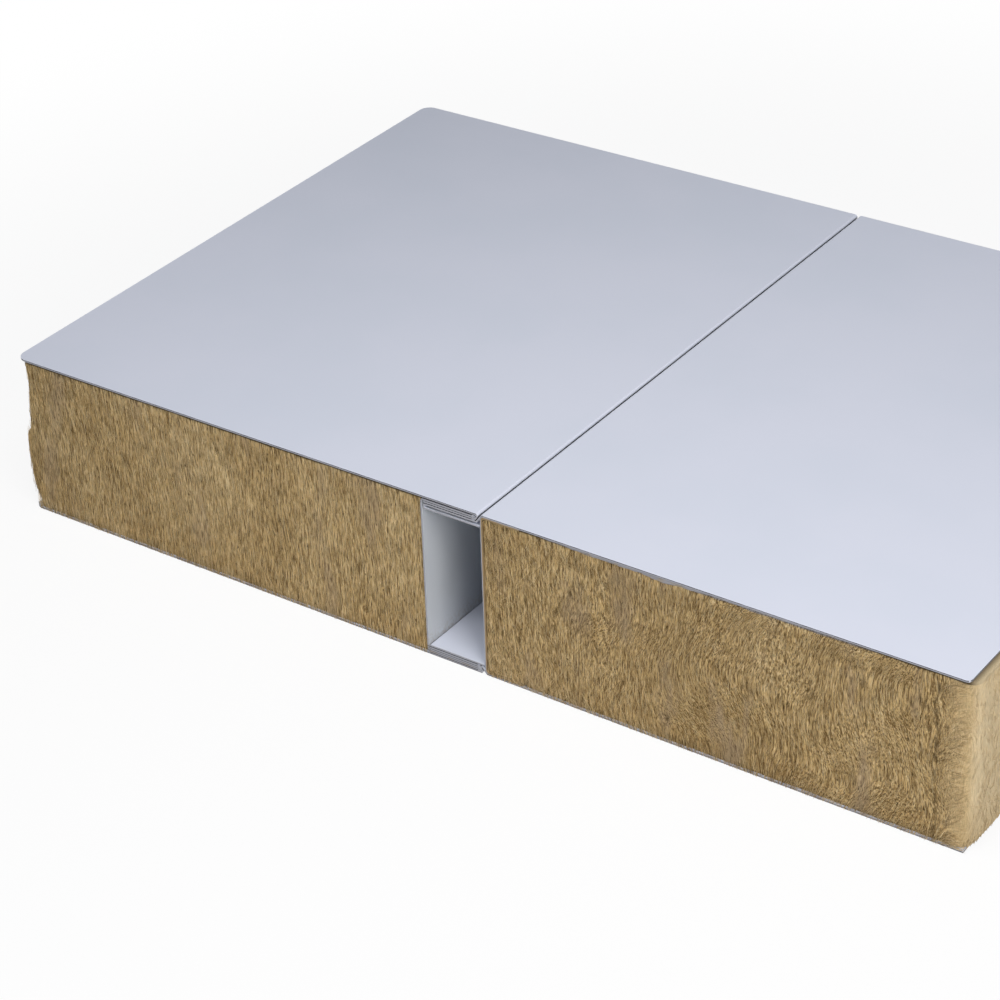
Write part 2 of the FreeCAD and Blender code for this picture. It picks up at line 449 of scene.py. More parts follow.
@dataclass(frozen=True)
class WoolLie:
    """How the strands run over both cores, from the place alone, so that meshes and materials agree."""

    drift_size: float = 30 * MM
    drift_stretch: Point = (1, 1, 1.3)
    calm_drift: float = 2 * MM
    wild_drift: float = 19 * MM
    wild_span: Span = (25 * MM, 70 * MM)
    fuzz_span: Span = (85 * MM, 12 * MM)
    fuzz_spread: float = 4.2
    joint_x: float = 141.6 * MM
    joint_half: float = 0.32 * MM
    joint_edge: Span = (2.2, 0.4)
    joint_wander: float = 3.5 * MM
    joint_wave: float = 9 * MM
    joint_gap: float = 2 * MM
    joint_gap_span: Span = (0.38, 0.6)
    turn_width: float = 7 * MM
    spot_edge: Span = (1.3, 0.5)
    spot_height: float = 1.8
    pit_spacing: float = 6 * MM
    pit_radius: float = 0.75 * MM
    pit_share: float = 0.3
    fleck_spacing: float = 1.8 * MM
    fleck_radius: float = 0.23 * MM
    fleck_share: float = 0.4
    wild_flecks: float = 0.25
    bundle_size: float = 0.42 * MM
    bundle_length: float = 15.0
    end_span: Span = (149.4 * MM, 152.4 * MM)
    shade_span: Span = (48.5 * MM, 48.8 * MM)
    glue_start: Span = (26 * MM, 42 * MM)
    glue_stop: Span = (128 * MM, 112 * MM)
    glue_rise: Span = (48.3 * MM, 48.9 * MM)
    glue_wander: float = 1.2 * MM
    glue_wave: float = 6 * MM
    slope_step: float = 1 * MM

    @staticmethod
    def across(graph: Graph) -> Term:
        """The distance from the middle of the sample towards the right."""
        return graph.part(graph.place, ACROSS)

    def wild(self, graph: Graph) -> Term:
        """From 0 on the left, where the strands lie neatly, to 1 over most of the right panel."""
        return graph.ramp(self.across(graph), *self.wild_span)

    def drift(self, graph: Graph, place: Term) -> Term:
        """How far the strands have wandered sideways at a place straight above or below the graph's own."""
        amount = self.calm_drift + (self.wild_drift - self.calm_drift) * self.wild(graph)
        return 2 * amount * graph.swing(place, self.drift_size, 1.0, self.drift_stretch)

    def combed(self, graph: Graph) -> Term:
        """The place with the wandering taken out, in which every strand is upright."""
        return graph.vector("ADD", graph.place, graph.scaled((1, 1, 0), self.drift(graph, graph.place)))

    def slope(self, graph: Graph) -> Term:
        """How far a strand leans sideways for each metre that it rises."""
        above = graph.vector("ADD", graph.place, (0, 0, self.slope_step))
        below = graph.vector("SUBTRACT", graph.place, (0, 0, self.slope_step))
        return (self.drift(graph, below) - self.drift(graph, above)) / (2 * self.slope_step)

    def fuzz(self, graph: Graph) -> Term:
        """1 beside the joint of the right panel, where the strands stand every way, and 0 elsewhere."""
        x = self.across(graph)
        return graph.ramp(x, *self.fuzz_span) * (x > 0)

    def last_lamella(self, graph: Graph) -> Term:
        """From 0 to 1 past the right panel's last lamella joint, where the strands turn level."""
        start = self.joint_x - self.joint_half
        return graph.ramp(self.across(graph), start, self.joint_x + self.turn_width)

    def lamella_joint(self, graph: Graph) -> Term:
        """1 in the upright joint between the right panel's last two lamellas."""
        wander = self.joint_wander * graph.swing(graph.place, self.joint_wave)
        distance = abs(self.across(graph) - self.joint_x + wander)
        patchy = graph.ramp(graph.noise(graph.place, self.joint_gap), *self.joint_gap_span)
        return patchy * graph.edged(distance, self.joint_half, self.joint_edge)

    def spots(self, graph: Graph, spacing: float, radius: float, share: Number) -> Term:
        """Scattered upright spots.

        Args:
            graph: the graph to add to.
            spacing: the distance from one possible spot to the next.
            radius: a spot's half width.
            share: the share of the possible spots that exist.

        Returns:
            1 in a spot and 0 outside.
        """
        squeezed = graph.vector("DIVIDE", graph.place, (spacing, spacing, spacing * self.spot_height))
        cells = graph.node("ShaderNodeTexVoronoi", {}, {"Vector": squeezed, "Scale": 1.0}, "Distance")
        chosen = graph.part(cells.peer("Color"), (1, 0, 0)) < share
        outside, inside = self.spot_edge
        return graph.ramp(cells, outside * radius / spacing, inside * radius / spacing) * chosen

    def pits(self, graph: Graph) -> Term:
        """1 in the small pits that are scattered over the wool, and 0 outside."""
        return self.spots(graph, self.pit_spacing, self.pit_radius, self.pit_share)

    def shade_flecks(self, graph: Graph) -> Term:
        """1 in the fine dark flecks of painted shade between the strands, which are more on the right, and 0
        outside.
        """
        share = self.fleck_share + self.wild_flecks * self.wild(graph)
        return self.spots(graph, self.fleck_spacing, self.fleck_radius, share)

    def bundles(self, graph: Graph) -> Term:
        """Above 0 on the right panel's bundles of strands, below 0 between them, and 0 on the left."""
        crest = graph.swing(self.combed(graph), self.bundle_size, 2.0, (1, 1, self.bundle_length))
        return crest * (self.across(graph) > 0) * (1 - self.last_lamella(graph))

    def end(self, graph: Graph) -> Term:
        """1 on the right core's pale outer end, and 0 elsewhere."""
        return graph.ramp(self.across(graph), *self.end_span)

    def under_skin(self, graph: Graph) -> Term:
        """1 in the dark line where the wool meets the upper skins, and 0 elsewhere."""
        return graph.ramp(graph.part(graph.place, UP), *self.shade_span)

    def glue(self, graph: Graph) -> Term:
        """1 where glue shows on the wool under the right upper skin."""
        x = self.across(graph)
        wander = self.glue_wander * graph.swing(graph.place, self.glue_wave)
        along = graph.ramp(x, *self.glue_start) * graph.ramp(x, *self.glue_stop)
        return along * graph.ramp(graph.part(graph.place, UP) + wander, *self.glue_rise)


@dataclass(frozen=True)
class WoolFinish:
    """Rock wool: tan mineral fibre with golden and grey patches, and painted shade between its strands, in
    its pits and in its lamella joint.
    """

    lie: WoolLie = WoolLie()
    straw: Colour = display(238, 217, 172)
    tan: Colour = display(211, 182, 128)
    umber: Colour = display(140, 110, 64)
    gold: Colour = display(210, 178, 104)
    grey: Colour = display(190, 171, 150)
    pale: Colour = display(229, 209, 171)
    glue_grey: Colour = display(168, 166, 168)
    hollow_shade: Colour = display(74, 56, 32)
    shadow: Colour = display(40, 36, 32)
    patch_size: float = 22 * MM
    patch_stretch: Point = (1, 1, 1.5)
    patch_tone: float = 0.6
    streak_stretch: Point = (1, 1, 3.6)
    gold_size: float = 9 * MM
    gold_span: Span = (0.52, 0.75)
    gold_share: float = 0.28
    wild_gold: float = 0.22
    grey_size: float = 9 * MM
    grey_span: Span = (0.53, 0.72)
    grey_share: float = 0.42
    wild_grey: float = 0.18
    strand_size: float = 0.3 * MM
    strand_length: float = 11.0
    strand_depth: float = 0.35 * MM
    tone_spread: float = 1.15
    calm_lift: float = 0.06
    wild_shade: float = 0.05
    speckle_size: float = 0.36 * MM
    speckle_length: float = 3.0
    speckle_tone: float = 0.9
    bundle_tone: float = 1.1
    gap_span: Span = (-0.09, -0.2)
    gap_share: float = 0.5
    joint_share: float = 0.5
    fleck_share: float = 0.85
    shadow_share: float = 0.85
    end_pale: float = 0.88
    last_pale: float = 0.3
    last_flecks: float = 0.7
    last_filled: float = 0.8
    deep_shade_span: Span = (0.58, 0.37)
    deep_shade_share: float = 0.8

    def patch(self, shader: Shader) -> Term:
        """How much paler the wool is over a wide patch, below 0 where it is darker."""
        return self.patch_tone * shader.swing(shader.place, self.patch_size, 2.0, self.patch_stretch)

    def tinted(self, shader: Shader, tone: Term) -> Term:
        """The wool's colour.

        Args:
            shader: the graph to add to.
            tone: from 0, dark, to 1, pale.

        Returns:
            The colour.
        """
        lie = self.lie
        last = lie.last_lamella(shader)
        wild = lie.wild(shader) * (1 - last)
        bundles = lie.bundles(shader)
        speckle = shader.swing(lie.combed(shader), self.speckle_size, 2.0, (1, 1, self.speckle_length))
        # The bundle term also darkens the wool between the bundles: painted shade, as in the gap layer
        # below.
        worn = tone + self.bundle_tone * bundles + self.speckle_tone * speckle
        aged = worn + self.calm_lift - (self.calm_lift + self.wild_shade) * wild
        gold_streaks = shader.noise(shader.place, self.gold_size, 2.0, self.streak_stretch)
        grey_streaks = shader.noise(shader.place, self.grey_size, 3.0, self.streak_stretch)
        golden = shader.ramp(gold_streaks, *self.gold_span)
        greyed = shader.ramp(grey_streaks, *self.grey_span)
        return shader.layered(
            self.umber,
            (shader.ramp(aged, 0.0, 0.5), self.tan),
            (shader.ramp(aged, 0.5, 1.0), self.straw),
            (golden * (self.gold_share + self.wild_gold * wild), self.gold),
            (greyed * (self.grey_share + self.wild_grey * wild), self.grey),
            (last * self.last_pale, self.pale),
            # Painted shade: between the bundles, in the lamella joint and in the flecks between the strands.
            (shader.ramp(bundles, *self.gap_span) * self.gap_share, self.hollow_shade),
            (lie.lamella_joint(shader) * self.joint_share, self.hollow_shade),
            (lie.shade_flecks(shader) * (1 - self.last_flecks * last) * self.fleck_share, self.hollow_shade),
            (lie.under_skin(shader) * self.shadow_share, self.shadow),
            (lie.end(shader) * self.end_pale, self.pale),
            (lie.glue(shader), self.glue_grey),
        )

    def strand_material(self) -> bpy.types.Material:
        """The loose strands' finish, which varies from strand to strand."""
        shader = Shader("rock_wool_strands")
        tone = shader.node("ShaderNodeAttribute", {"attribute_name": WoolStrands.TONE}, output="Fac")
        own_tone = 0.5 + self.tone_spread * (tone - 0.5) + self.patch(shader)
        shader.feed(Base_Color=self.tinted(shader, own_tone), Roughness=0.75, Specular_IOR_Level=0.25)
        return shader.material

    def bed_material(self) -> bpy.types.Material:
        """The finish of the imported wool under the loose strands."""
        shader = Shader("rock_wool_bed")
        stretch = (1, 1, self.strand_length)
        strand = shader.noise(self.lie.combed(shader), self.strand_size, 2.0, stretch)
        # Painted shade between the strands and in the bed's pits, with less of it on the last lamella.
        filled = self.last_filled * self.lie.last_lamella(shader)
        between = shader.ramp(strand, *self.deep_shade_span) * (1 - filled)
        deep_shade = shader.math("MAXIMUM", between, self.lie.pits(shader))
        colour = self.tinted(shader, strand + self.patch(shader))
        shader.feed(
            Base_Color=shader.mix(deep_shade * self.deep_shade_share, colour, self.hollow_shade),
            Roughness=0.9,
            Specular_IOR_Level=0.15,
        )
        shader.bump(strand, self.strand_depth)
        return shader.material


class WoolSurface:
    """The tree that roughens a core's cut sides with clumps, ridges, pits and the lamella joint."""

    CUT = "cut"
    CLUMP_SIZE = 9 * MM
    CLUMP_STRETCH = (1, 1, 1.7)
    CLUMP_MIDDLE = 0.55
    RIDGE_SIZE = 1.4 * MM
    RIDGE_STRETCH = (1, 1, 5)
    RIDGE_MIDDLE = 0.6
    LEVEL_FROM = 0.9

    def __init__(self, finish: WoolFinish) -> None:
        """Builds the bed's material, and the tree for wool that lies as this finish says."""
        self.material = finish.bed_material()
        lie = finish.lie
        tree = GeometryTree("wool_cut_surface")
        self.tree = tree
        depths = tree.parameters("Float", "Clump Depth", "Ridge Depth", "Pit Depth", "Joint Depth")
        clump_depth, ridge_depth, pit_depth, joint_depth = depths
        (bed,) = tree.parameters("Material", "Bed")
        level = tree.vector("NORMALIZE", tree.vector("MULTIPLY", tree.normal, (1, 1, 0)))
        cut = tree.node(
            "GeometryNodeInputNamedAttribute", {"data_type": "FLOAT"}, {"Name": self.CUT}, "Attribute"
        )
        clump = tree.noise(tree.place, self.CLUMP_SIZE, 3.0, self.CLUMP_STRETCH) - self.CLUMP_MIDDLE
        ridge = tree.noise(lie.combed(tree), self.RIDGE_SIZE, 2.0, self.RIDGE_STRETCH) - self.RIDGE_MIDDLE
        dents = pit_depth * lie.pits(tree) + joint_depth * lie.lamella_joint(tree)
        height = 2 * clump_depth * clump + 2 * ridge_depth * ridge - dents
        offset = tree.scaled(level, height * cut)
        moved = tree.node("GeometryNodeSetPosition", {}, {"Geometry": tree.source, "Offset": offset})
        upright = abs(tree.part(tree.normal, UP)) < self.LEVEL_FROM
        smooth = tree.node("GeometryNodeSetShadeSmooth", {}, {"Geometry": moved, "Selection": upright})
        tree.deliver(smooth, bed)


class WoolStrands:
    """The tree that lays loose strands on one cut side of a core."""

    TONE = "tone"
    ASPECT = 0.06
    FULLNESS = 0.9
    BENDS = (-0.14, -0.07, 0.03, 0.08, 0.16)
    FACING_FROM = 0.6
    LEVEL_STRAY = 1.5
    LEVEL_TURN = 1.2
    LENGTHS = (0.5, 1.4)
    WIDTHS = (0.6, 1.3)
    OUTWARD = (-0.1 * MM, 0.15 * MM)
    CLEARANCE = 0.3 * MM
    FRINGE = (4.4 * MM, 3.0 * MM)

    def __init__(self, finish: WoolFinish) -> None:
        """Builds the strands' material, and the tree for wool that lies as this finish says."""
        self.material = finish.strand_material()
        lie = finish.lie
        tree = GeometryTree("wool_strands")
        self.tree = tree
        facing, low, high = tree.parameters("Vector", "Facing", "Low Limit", "High Limit")
        density, length, thickness = tree.parameters("Float", "Density", "Length", "Thickness")
        jitter, lift, lean, overhang = tree.parameters("Float", "Jitter", "Lift", "Lean", "Overhang")
        (material,) = tree.parameters("Material", "Strands")

        side = tree.node(
            "GeometryNodeSeparateGeometry",
            {"domain": "FACE"},
            {"Geometry": tree.source, "Selection": tree.part(tree.normal, facing) > self.FACING_FROM},
        )
        sown = tree.node(
            "GeometryNodeDistributePointsOnFaces",
            {},
            {"Mesh": side, "Density": density * (1 - lie.pits(tree)), "Seed": 11},
            "Points",
        )

        across = tree.vector("ABSOLUTE", tree.vector("CROSS_PRODUCT", UP, facing))
        level = lie.last_lamella(tree) * abs(tree.part(facing, ALONG))
        spread = 1 + lie.fuzz_spread * lie.fuzz(tree) + self.LEVEL_STRAY * level
        stray = jitter * spread * tree.random(-1, 1, 21)
        angle = tree.math("ARCTANGENT", lie.slope(tree)) + stray + self.LEVEL_TURN * level
        upward = tree.scaled(UP, tree.math("COSINE", angle))
        along = tree.vector("ADD", upward, tree.scaled(across, tree.math("SINE", angle)))
        tilted = tree.vector("ADD", along, tree.scaled(facing, lift * tree.random(-1, 1, 22)))
        turned = tree.node(
            "FunctionNodeAxesToRotation",
            {"primary_axis": "Z", "secondary_axis": "X"},
            {"Primary Axis": tilted, "Secondary Axis": across},
        )
        roll = tree.node("ShaderNodeCombineXYZ", {}, {"Z": tree.random(0, 2 * math.pi, 25)})
        rolled = tree.node(
            "FunctionNodeRotateRotation",
            {"rotation_space": "LOCAL"},
            {"Rotation": turned, "Rotate By": tree.node("FunctionNodeEulerToRotation", {}, {"Euler": roll})},
        )
        own_length = length * tree.random(*self.LENGTHS, 23)
        width = thickness / self.ASPECT * tree.random(*self.WIDTHS, 26)
        strands = tree.node(
            "GeometryNodeInstanceOnPoints",
            {},
            {
                "Points": sown,
                "Instance": self.shapes(tree),
                "Pick Instance": True,
                "Rotation": rolled,
                "Scale": tree.node("ShaderNodeCombineXYZ", {}, {"X": width, "Y": width, "Z": own_length}),
            },
        )

        reach = tree.scaled(tree.vector("ABSOLUTE", along), 0.5 * own_length)
        reach = tree.vector("ADD", reach, (self.CLEARANCE, self.CLEARANCE, self.CLEARANCE))
        height = tree.part(tree.place, UP)
        sheared = tree.scaled(ACROSS, lean * (height - tree.part(high, UP)))
        held = tree.vector("SUBTRACT", tree.place, sheared)
        held = tree.vector("MAXIMUM", held, tree.vector("ADD", low, reach))
        held = tree.vector("MINIMUM", held, tree.vector("SUBTRACT", high, reach))
        held = tree.vector("ADD", held, sheared)
        fringed = tree.ramp(height - tree.part(low, UP), *self.FRINGE)
        short = tree.math("MAXIMUM", overhang - tree.part(held, facing), 0)
        outward = tree.random(*self.OUTWARD, 24) + fringed * short
        raised = tree.vector("ADD", held, tree.scaled(facing, outward))
        placed = tree.node("GeometryNodeSetPosition", {}, {"Geometry": strands, "Position": raised})
        toned = tree.node(
            "GeometryNodeStoreNamedAttribute",
            {"data_type": "FLOAT", "domain": "INSTANCE"},
            {"Geometry": placed, "Name": self.TONE, "Value": tree.random(0, 1, 27)},
        )
        tree.deliver(toned, material)

    def shapes(self, tree: GeometryTree) -> Term:
        """Pointed slivers of unit length, each with its own bend, for the strands to pick from."""
        slivers = []
        radii = {"Radius Top": 0.0, "Radius Bottom": self.ASPECT / 2}
        cone = {"Vertices": 3, "Side Segments": 2, **radii, "Depth": 1.0}
        for bend in self.BENDS:
            spike = tree.node("GeometryNodeMeshCone", {}, cone)
            height = tree.part(tree.place, UP)
            middle = 4 * height * (1 - height)
            fuller = tree.scaled(tree.vector("MULTIPLY", tree.place, (1, 1, 0)), self.FULLNESS * middle)
            offset = tree.vector("ADD", fuller, tree.scaled(ACROSS, bend * middle))
            centred = tree.vector("SUBTRACT", offset, (0, 0, 0.5))
            bent = tree.node("GeometryNodeSetPosition", {}, {"Geometry": spike, "Offset": centred})
            slivers.append(tree.node("GeometryNodeSetShadeSmooth", {}, {"Geometry": bent}))
        return tree.node("GeometryNodeGeometryToInstance", {}, {"Geometry": slivers})


class Side(Enum):
    """A cut side of a wool core, with the way it faces."""

    FRONT = (0.0, -1.0, 0.0)
    BACK = (0.0, 1.0, 0.0)
    LEFT_END = (-1.0, 0.0, 0.0)
    RIGHT_END = (1.0, 0.0, 0.0)


@dataclass(frozen=True)
class Nap:
    """How many loose strands lie on one side of a core, and how neatly."""

    side: Side
    strands: int
    length: float
    thickness: float
    jitter: float
    lift: float


@dataclass
class WoolCore:
    """One panel's rock wool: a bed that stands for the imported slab, and loose strands on its cut sides.

    The end profile lists heights and the end's outward shift at each, both in millimetres.
    """

    name: str
    node: str
    end_way: int
    end_profile: Sequence[Span]
    naps: Sequence[Nap]
    flange_reach: float = 0.0
    flange_room: float = 0.5 * MM
    flange_bend: float = 1.05 * MM
    corner_radius: float = 3.0 * MM
    step: float = 0.68 * MM
    clump_depth: float = 0.32 * MM
    ridge_depth: float = 0.16 * MM
    pit_depth: float = 1.2 * MM
    joint_depth: float = 0.3 * MM
    rough_from: Span = (1 * MM, 3 * MM)
    end_roughness: float = 0.4
    end_ripple: float = 2.4 * MM
    ripple_size: float = 13 * MM
    fine_ripple: float = 0.6
    fine_pace: float = 2.3
    fringe_drop: float = 0.65 * MM
    fringe_out: float = 0.7 * MM
    low: Vector = field(init=False)
    high: Vector = field(init=False)

    def __post_init__(self) -> None:
        """Takes the slab's box from the frame."""
        self.low, self.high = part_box(self.node)

    @property
    def inner(self) -> float:
        """Where the slab meets the channel at its top."""
        return self.low.x + JOINT_LEAN if self.end_way > 0 else self.high.x

    @property
    def outer(self) -> float:
        """Where the slab's outer end is."""
        return self.high.x if self.end_way > 0 else self.low.x

    @property
    def slant(self) -> float:
        """How far the slab's edge at the channel moves to the right for each metre that it rises."""
        return JOINT_LEAN / (self.high.z - self.low.z)

    def outline(self) -> tuple[np.ndarray, np.ndarray]:
        """The plan of the cut sides, from the channel along the front, the end and the back.

        Returns:
            Points in X and Y, and for each point how much it is roughened, from 0 to 1.
        """
        radius = self.corner_radius
        run = abs(self.outer - self.inner) - radius
        arc = math.pi / 2 * radius
        total = 2 * run + 2 * arc + self.high.y - self.low.y - 2 * radius
        marks = np.linspace(0, total, int(total / self.step) + 1)
        passed = np.minimum(marks, total - marks)
        turn = np.clip((passed - run) / radius, 0, math.pi / 2)
        x = self.inner + self.end_way * (np.clip(passed, 0, run) + radius * np.sin(turn))
        y_front = self.low.y + radius * (1 - np.cos(turn)) + np.clip(passed - run - arc, 0, None)
        y = np.where(marks <= total / 2, y_front, self.low.y + self.high.y - y_front)
        rough = np.interp(passed, [*self.rough_from, run, run + arc], [0, 1, 1, self.end_roughness])
        return np.column_stack([x, y]), rough

    def bed_mesh(self) -> bpy.types.Mesh:
        """A closed block, finely gridded, that follows the end's profile and clears the flanges."""
        plan, rough = self.outline()
        rows = int((self.high.z - self.low.z) / self.step) + 1
        heights = np.linspace(self.low.z, self.high.z, rows)
        share = (plan[:, 0] - self.inner) / (self.outer - self.inner)
        levels, offsets = MM * np.array(self.end_profile).T
        back = (plan[:, 1] - self.low.y) / self.ripple_size
        ripple = self.end_ripple * (np.sin(back) + self.fine_ripple * np.sin(self.fine_pace * back))
        shift = self.end_way * np.interp(heights[:, None] + ripple[None, :], levels, offsets)
        lean = self.slant * (heights - self.high.z)
        x = plan[:, 0][None, :] + share[None, :] * shift + (1 - share)[None, :] * lean[:, None]
        y = np.broadcast_to(plan[:, 1][None, :], x.shape)
        reach = abs(plan[:, 0] - self.inner)
        into_bend = np.clip(self.flange_bend - reach, 0, None)
        rounded = self.flange_bend - np.sqrt(self.flange_bend**2 - into_bend**2)
        room = np.where(reach < self.flange_reach, self.flange_room + rounded, 0)
        z = np.clip(heights[:, None], self.low.z + room[None, :], self.high.z - room[None, :])
        mesh = tube_mesh(f"{self.name}_bed", np.stack([x, y, z], axis=-1), self.end_way < 0)
        cut = mesh.attributes.new(WoolSurface.CUT, "FLOAT", "POINT")
        cut.data.foreach_set("value", np.tile(rough, rows).astype(np.float32))
        return mesh

    def build(self, surface: WoolSurface, strands: WoolStrands) -> None:
        """Makes the bed and its strands, and hands them to the frame.

        Args:
            surface: what roughens the bed.
            strands: what lays the strands.
        """
        depths = {
            "Clump Depth": self.clump_depth,
            "Ridge Depth": self.ridge_depth,
            "Pit Depth": self.pit_depth,
            "Joint Depth": self.joint_depth,
        }
        bed_mesh = surface.tree.grow(self.bed_mesh(), {**depths, "Bed": surface.material})
        bed = add_piece(f"{self.name}_bed", bed_mesh)
        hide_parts(self.node)
        for nap in self.naps:
            values = {**self.nap_values(nap), "Strands": strands.material}
            mesh = strands.tree.grow(bed_mesh, values)
            add_piece(f"{self.name}_{nap.side.name.lower()}_strands", mesh)

    def nap_values(self, nap: Nap) -> dict[str, Any]:
        """The strand tree's inputs for one side, apart from its material.

        Args:
            nap: how the strands lie.

        Returns:
            Values by the inputs' names.
        """
        size = self.high - self.low
        on_end = nap.side in (Side.LEFT_END, Side.RIGHT_END)
        in_front = nap.side is Side.FRONT
        free = 0.1
        past_end = free if on_end else MM * max(offset for _, offset in self.end_profile)
        low_x = self.inner if self.end_way > 0 else self.low.x - past_end
        high_x = self.high.x + past_end if self.end_way > 0 else self.inner
        low_z = self.low.z - (self.fringe_drop if in_front else 0)
        return {
            "Facing": nap.side.value,
            "Density": nap.strands / (size.z * (size.y if on_end else size.x)),
            "Length": nap.length,
            "Thickness": nap.thickness,
            "Jitter": nap.jitter,
            "Lift": nap.lift,
            "Low Limit": (low_x, self.low.y - free, low_z),
            "High Limit": (high_x, self.high.y + free, self.high.z),
            "Lean": self.slant,
            "Overhang": self.fringe_out - self.low.y if in_front else 0.0,
        }


@dataclass(frozen=True)
class GlueFinish:
    """Cured grey adhesive with wool dust on it."""

    grey: Colour = display(160, 159, 164)
    dust: Colour = display(164, 148, 122)
    dust_size: float = 2.5 * MM
    dust_span: Span = (0.5, 0.7)
    dust_share: float = 0.7
    lump_size: float = 0.8 * MM
    lump_depth: float = 0.15 * MM
    roughness: float = 0.6
    lump_roughness: float = 0.2

    def material(self) -> bpy.types.Material:
        """Builds the finish."""
        shader = Shader("glue_grey")
        dusty = shader.ramp(shader.noise(shader.place, self.dust_size, 3.0), *self.dust_span)
        lump = shader.noise(shader.place, self.lump_size)
        shader.feed(
            Base_Color=shader.mix(dusty * self.dust_share, self.grey, self.dust),
            Roughness=self.roughness + self.lump_roughness * lump,
        )
        shader.bump(lump, self.lump_depth)
        return shader.material


@dataclass
class GlueBead:
    """The line of glue that has squeezed out between the right upper skin and its wool."""

    name: str = "right_glue_bead"
    finish: GlueFinish = GlueFinish()
    start: float = 27 * MM
    stop: float = 127 * MM
    fade_places: Sequence[float] = (27 * MM, 45 * MM, 62 * MM, 90 * MM, 127 * MM)
    fade_shares: Sequence[float] = (0.15, 1.0, 1.0, 0.6, 0.15)
    top: float = 49.45 * MM
    back: float = -96.1 * MM
    front: float = -96.75 * MM
    height: float = 1.15 * MM
    height_window: tuple[int, float] = (9, 3.0)
    height_swing: float = 0.15
    height_limits: Span = (0.6, 1.4)
    bulge: float = 0.08 * MM
    bulge_window: tuple[int, float] = (5, 2.2)
    bulge_limits: Span = (-2.0, 2.0)
    section: Sequence[Span] = ((0.1 * MM, 0.0), (0.0, 0.3), (0.06 * MM, 0.7), (0.3 * MM, 1.0))
    step: float = 0.7 * MM
    seed: int = 5

    @staticmethod
    def rolling(rng: np.random.Generator, count: int, width: int, divisor: float) -> np.ndarray:
        """Random values about 0, each the sum of a window of this width over the divisor."""
        return np.convolve(rng.normal(0, 1, count + width - 1), np.ones(width) / divisor, "valid")

    def mesh(self) -> bpy.types.Mesh:
        """A closed bead whose height and bulge wander along its length."""
        x = np.arange(self.start, self.stop, self.step)
        rng = np.random.default_rng(self.seed)
        wander = self.rolling(rng, len(x), *self.height_window)
        bulge = np.clip(self.rolling(rng, len(x), *self.bulge_window), *self.bulge_limits)
        fade = np.interp(x, self.fade_places, self.fade_shares)
        height = self.height * fade * np.clip(1 + self.height_swing * wander, *self.height_limits)
        front = self.front - self.bulge * bulge
        top = np.full_like(x, self.top)
        back = np.full_like(x, self.back)
        bulging = [(front + inset, top - share * height) for inset, share in self.section]
        ring = [(back, top), *bulging, (back, top - height)]
        mesh = tube_mesh(self.name, np.stack([np.column_stack([x, y, z]) for y, z in ring], axis=1))
        mesh.shade_smooth()
        return mesh

    def build(self) -> None:
        """Makes the bead and hands it to the frame."""
        mesh = self.mesh()
        mesh.materials.append(self.finish.material())
        add_piece(self.name, mesh)


def tube_mesh(name: str, rings: np.ndarray, flipped: bool = False) -> bpy.types.Mesh:
    """A closed mesh through rings of points, with one face across each end.

    Args:
        name: the mesh's name.
        rings: points by ring, by place round the ring and by axis.
        flipped: whether the rings run the other way round.

    Returns:
        The mesh.
    """
    count, around = rings.shape[:2]
    place, ring = np.meshgrid(np.arange(around), np.arange(count - 1))
    here = ring * around + place
    beside = ring * around + (place + 1) % around
    quads = np.stack([here, beside, beside + around, here + around], axis=-1).reshape(-1, 4)
    last = np.arange((count - 1) * around, count * around)
    first = np.arange(around)[::-1]
    faces = quads.tolist() + [last.tolist(), first.tolist()]
    if flipped:
        faces = [face[::-1] for face in faces]
    mesh = bpy.data.meshes.new(name)
    mesh.from_pydata(rings.reshape(-1, 3).tolist(), [], faces)
    return mesh


def add_piece(name: str, mesh: bpy.types.Mesh) -> bpy.types.Object:
    """Puts a finished mesh in the scene as a piece of the sample.

    Args:
        name: the piece's name.
        mesh: its mesh, already in place.

    Returns:
        The piece.
    """
    mesh.name = name
    piece = put(name, mesh)
    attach(piece, BODY)
    triangles = sum(len(face.vertices) - 2 for face in mesh.polygons)
    LOG.info("%s: %d triangles", name, triangles)
    return piece


@dataclass
class SheetMetal:
    """The folded sheets and channels, which keep their solids and get their finishes."""

    skins: Sequence[str] = ("left_top_sheet", "left_bottom_sheet", "right_top_sheet", "right_bottom_sheet")
    channels: Sequence[str] = ("left_edge_channel", "right_edge_channel")
    skin_finish: SheetFinish = SheetFinish(
        "skin_paint", display(212, 216, 229), display(209, 214, 227), roughness=0.42
    )
    channel_finish: SheetFinish = SheetFinish(
        "channel_coat", display(200, 204, 209), display(196, 200, 205), roughness=0.5, dusty=0.9
    )
    seam_x: float = 11.75 * MM

    def dress(self) -> None:
        """Gives each sheet and channel its material."""
        low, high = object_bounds()
        half_width = (high[0] - low[0]) / 2
        for names, finish in ((self.skins, self.skin_finish), (self.channels, self.channel_finish)):
            material = finish.material(half_width, high[2], self.seam_x)
            for name in names:
                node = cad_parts[name]
                node.data.materials.clear()
                node.data.materials.append(material)
                LOG.info("%s: %s", name, finish.name)


@dataclass
class SoftBox:
    """A square soft light that shines at a point."""

    name: str
    place: Point
    target: Point
    size: float
    power: float
    colour: Point = (1.0, 1.0, 1.0)

    def build(self) -> None:
        """Adds the light, hidden from the camera."""
        data = bpy.data.lights.new(self.name, "AREA")
        data.size = self.size
        data.energy = self.power
        data.color = self.colour
        lamp = put(self.name, data)
        lamp.location = self.place
        lamp.rotation_euler = (Vector(self.target) - Vector(self.place)).to_track_quat("-Z", "Y").to_euler()
        lamp.visible_camera = False


